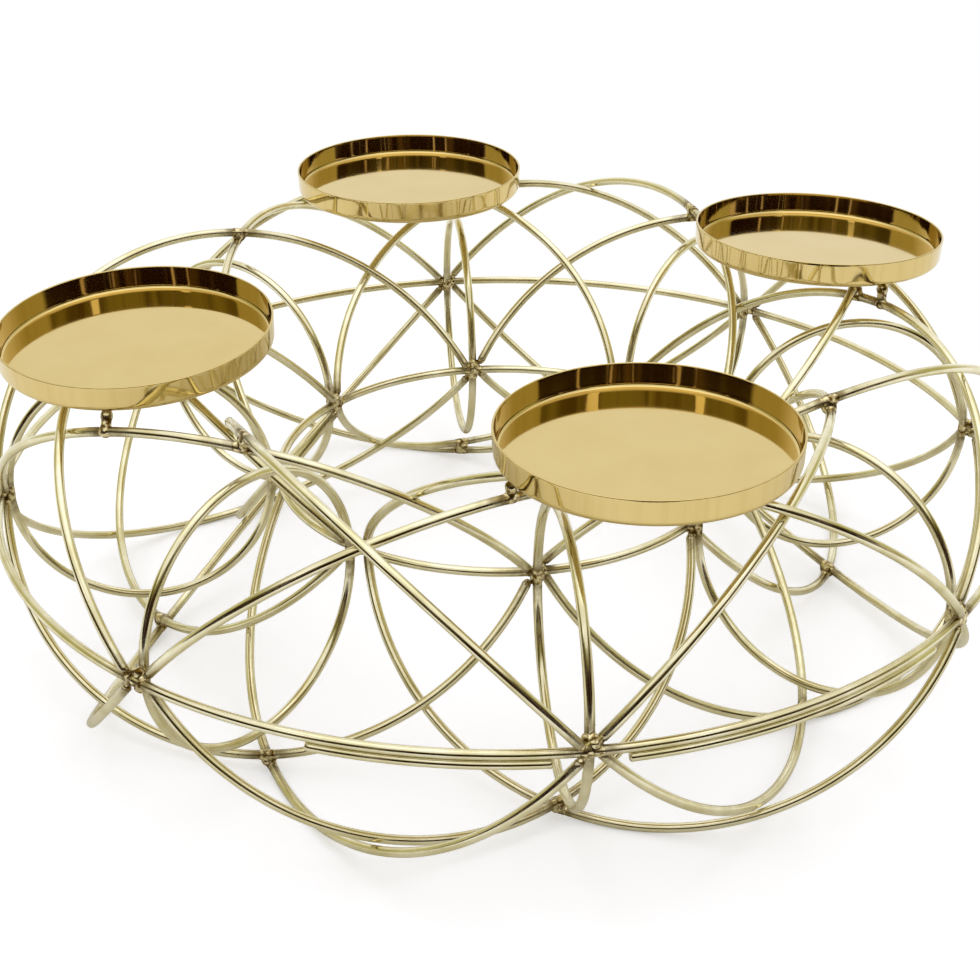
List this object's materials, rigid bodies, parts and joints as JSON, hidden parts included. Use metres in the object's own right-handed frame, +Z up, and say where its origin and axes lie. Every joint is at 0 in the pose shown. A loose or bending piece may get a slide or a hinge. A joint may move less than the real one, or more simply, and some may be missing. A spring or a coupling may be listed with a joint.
{
  "type": "advent candle holder",
  "caption": "Ring-shaped open basket of welded, brass-coloured wire arches with shallow round pans on top that carry an advent wreath's pillar candles.",
  "frame": {"origin": "middle of the ring on the surface that the basket stands on", "axes": "+Z up along the ring's axis, -Y towards the picture's viewer, +X to the viewer's right"},
  "size_m": [0.4, 0.4, 0.1528],
  "materials": {
    "plated_wire": "polished plating",
    "plated_pan": "mirror-polished plating",
    "plated_weld": "plated weld metal"
  },
  "bodies": {
    "root": {"outer_ring": "plated_wire", "inner_ring": "plated_wire", "ring_doubler_1": "plated_wire", "ring_doubler_2": "plated_wire", "upright_hoop_1": "plated_wire", "upright_hoop_2": "plated_wire", "upright_hoop_3": "plated_wire", "upright_hoop_4": "plated_wire", "upright_hoop_5": "plated_wire", "upright_hoop_6": "plated_wire", "upright_hoop_7": "plated_wire", "upright_hoop_8": "plated_wire", "top_petal_under_1": "plated_wire", "top_petal_under_2": "plated_wire", "top_petal_under_3": "plated_wire", "top_petal_under_4": "plated_wire", "top_petal_under_5": "plated_wire", "top_petal_under_6": "plated_wire", "top_petal_under_7": "plated_wire", "top_petal_under_8": "plated_wire", "top_petal_over_1": "plated_wire", "top_petal_over_2": "plated_wire", "top_petal_over_3": "plated_wire", "top_petal_over_4": "plated_wire", "top_petal_over_5": "plated_wire", "top_petal_over_6": "plated_wire", "top_petal_over_7": "plated_wire", "top_petal_over_8": "plated_wire", "bottom_petal_under_1": "plated_wire", "bottom_petal_under_2": "plated_wire", "bottom_petal_under_3": "plated_wire", "bottom_petal_under_4": "plated_wire", "bottom_petal_under_5": "plated_wire", "bottom_petal_under_6": "plated_wire", "bottom_petal_under_7": "plated_wire", "bottom_petal_under_8": "plated_wire", "bottom_petal_over_1": "plated_wire", "bottom_petal_over_2": "plated_wire", "bottom_petal_over_3": "plated_wire", "bottom_petal_over_4": "plated_wire", "bottom_petal_over_5": "plated_wire", "bottom_petal_over_6": "plated_wire", "bottom_petal_over_7": "plated_wire", "bottom_petal_over_8": "plated_wire", "candle_pan_1": "plated_pan", "candle_pan_2": "plated_pan", "candle_pan_3": "plated_pan", "candle_pan_4": "plated_pan", "outer_joint_welds": "plated_weld", "inner_joint_welds": "plated_weld", "petal_crossing_welds": "plated_weld", "pan_welds": "plated_weld"}
  },
  "joints": []
}
